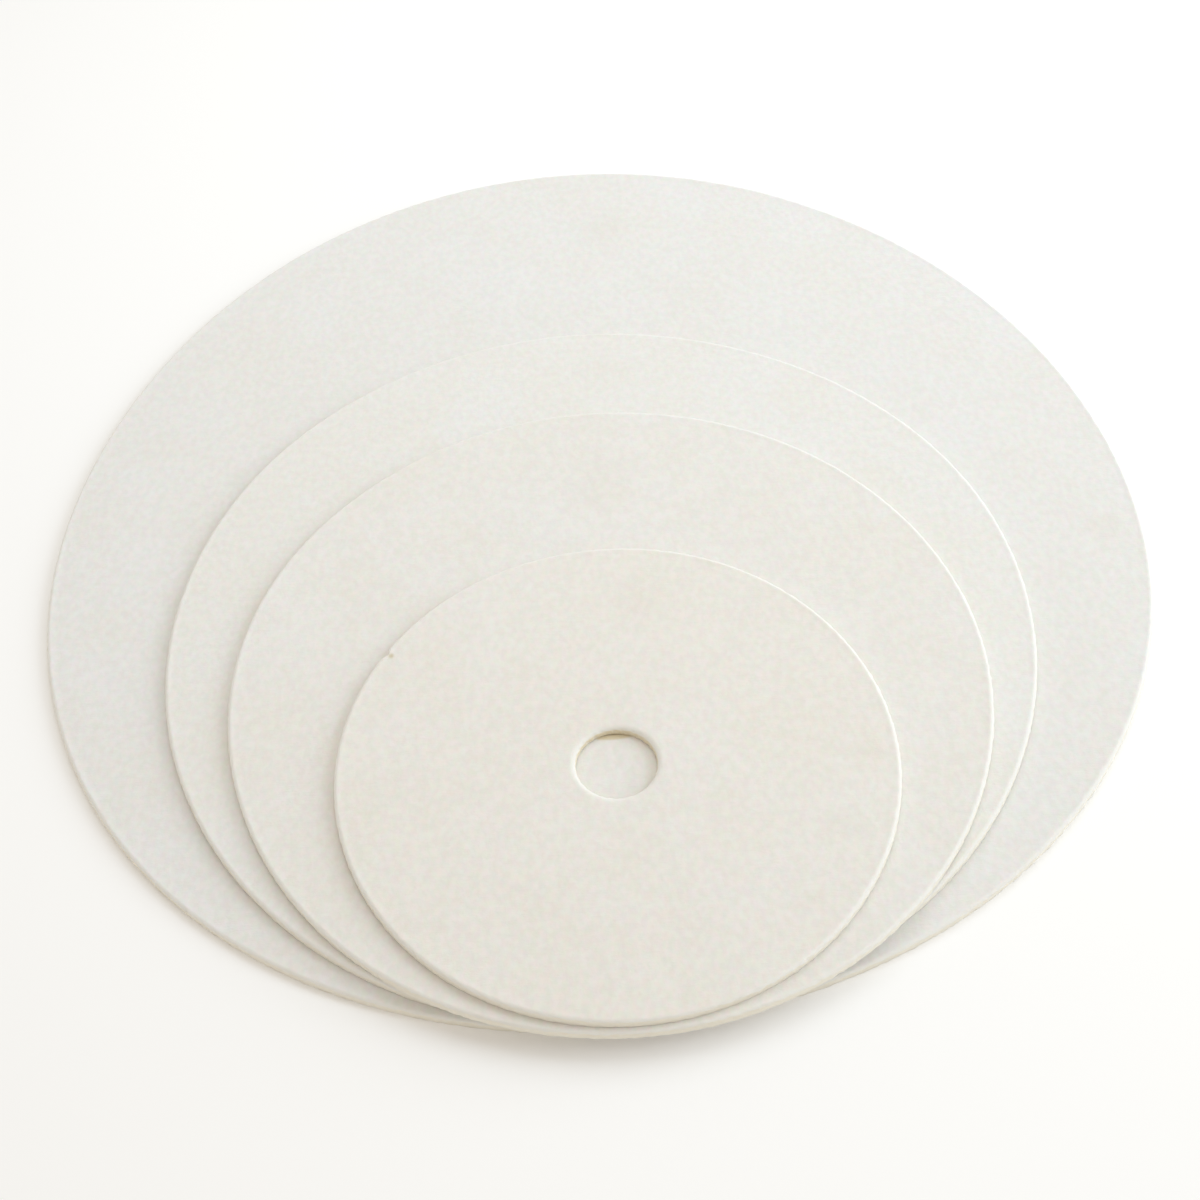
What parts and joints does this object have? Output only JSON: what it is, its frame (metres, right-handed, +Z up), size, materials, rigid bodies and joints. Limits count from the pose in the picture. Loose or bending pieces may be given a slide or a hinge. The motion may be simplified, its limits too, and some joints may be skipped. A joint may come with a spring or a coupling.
{
  "type": "felt polishing wheel set",
  "caption": "Pile of flat round felt polishing wheels in graded sizes, each a thin off-white pressed wool disc with a plain central bore, for lapidary polishing.",
  "frame": {"origin": "on the axis of the largest wheel's bore, at its underside, which is the surface the pile lies on", "axes": "+Z up through the pile and along every bore, -Y towards the front of the pile where the wheels' edges are brought together, +X to the right"},
  "size_m": [0.24, 0.2433, 0.008],
  "materials": {
    "largest_wheel_felt": "matt pressed wool felt, off-white, slightly cool",
    "second_wheel_felt": "matt pressed wool felt, off-white",
    "third_wheel_felt": "matt pressed wool felt, warm off-white",
    "smallest_wheel_felt": "matt pressed wool felt, warm off-white"
  },
  "bodies": {
    "largest_wheel": {"largest_wheel": "largest_wheel_felt"},
    "second_wheel": {"second_wheel": "second_wheel_felt"},
    "third_wheel": {"third_wheel": "third_wheel_felt"},
    "smallest_wheel": {"smallest_wheel": "smallest_wheel_felt"}
  },
  "joints": [
    {"name": "second_wheel_lift", "type": "slide", "parent": "largest_wheel", "child": "second_wheel", "axis": [0, 0, 1], "range_m": [0, 0.06]},
    {"name": "third_wheel_lift", "type": "slide", "parent": "second_wheel", "child": "third_wheel", "axis": [0, 0, 1], "range_m": [0, 0.06]},
    {"name": "smallest_wheel_lift", "type": "slide", "parent": "third_wheel", "child": "smallest_wheel", "axis": [0, 0, 1], "range_m": [0, 0.06]}
  ]
}
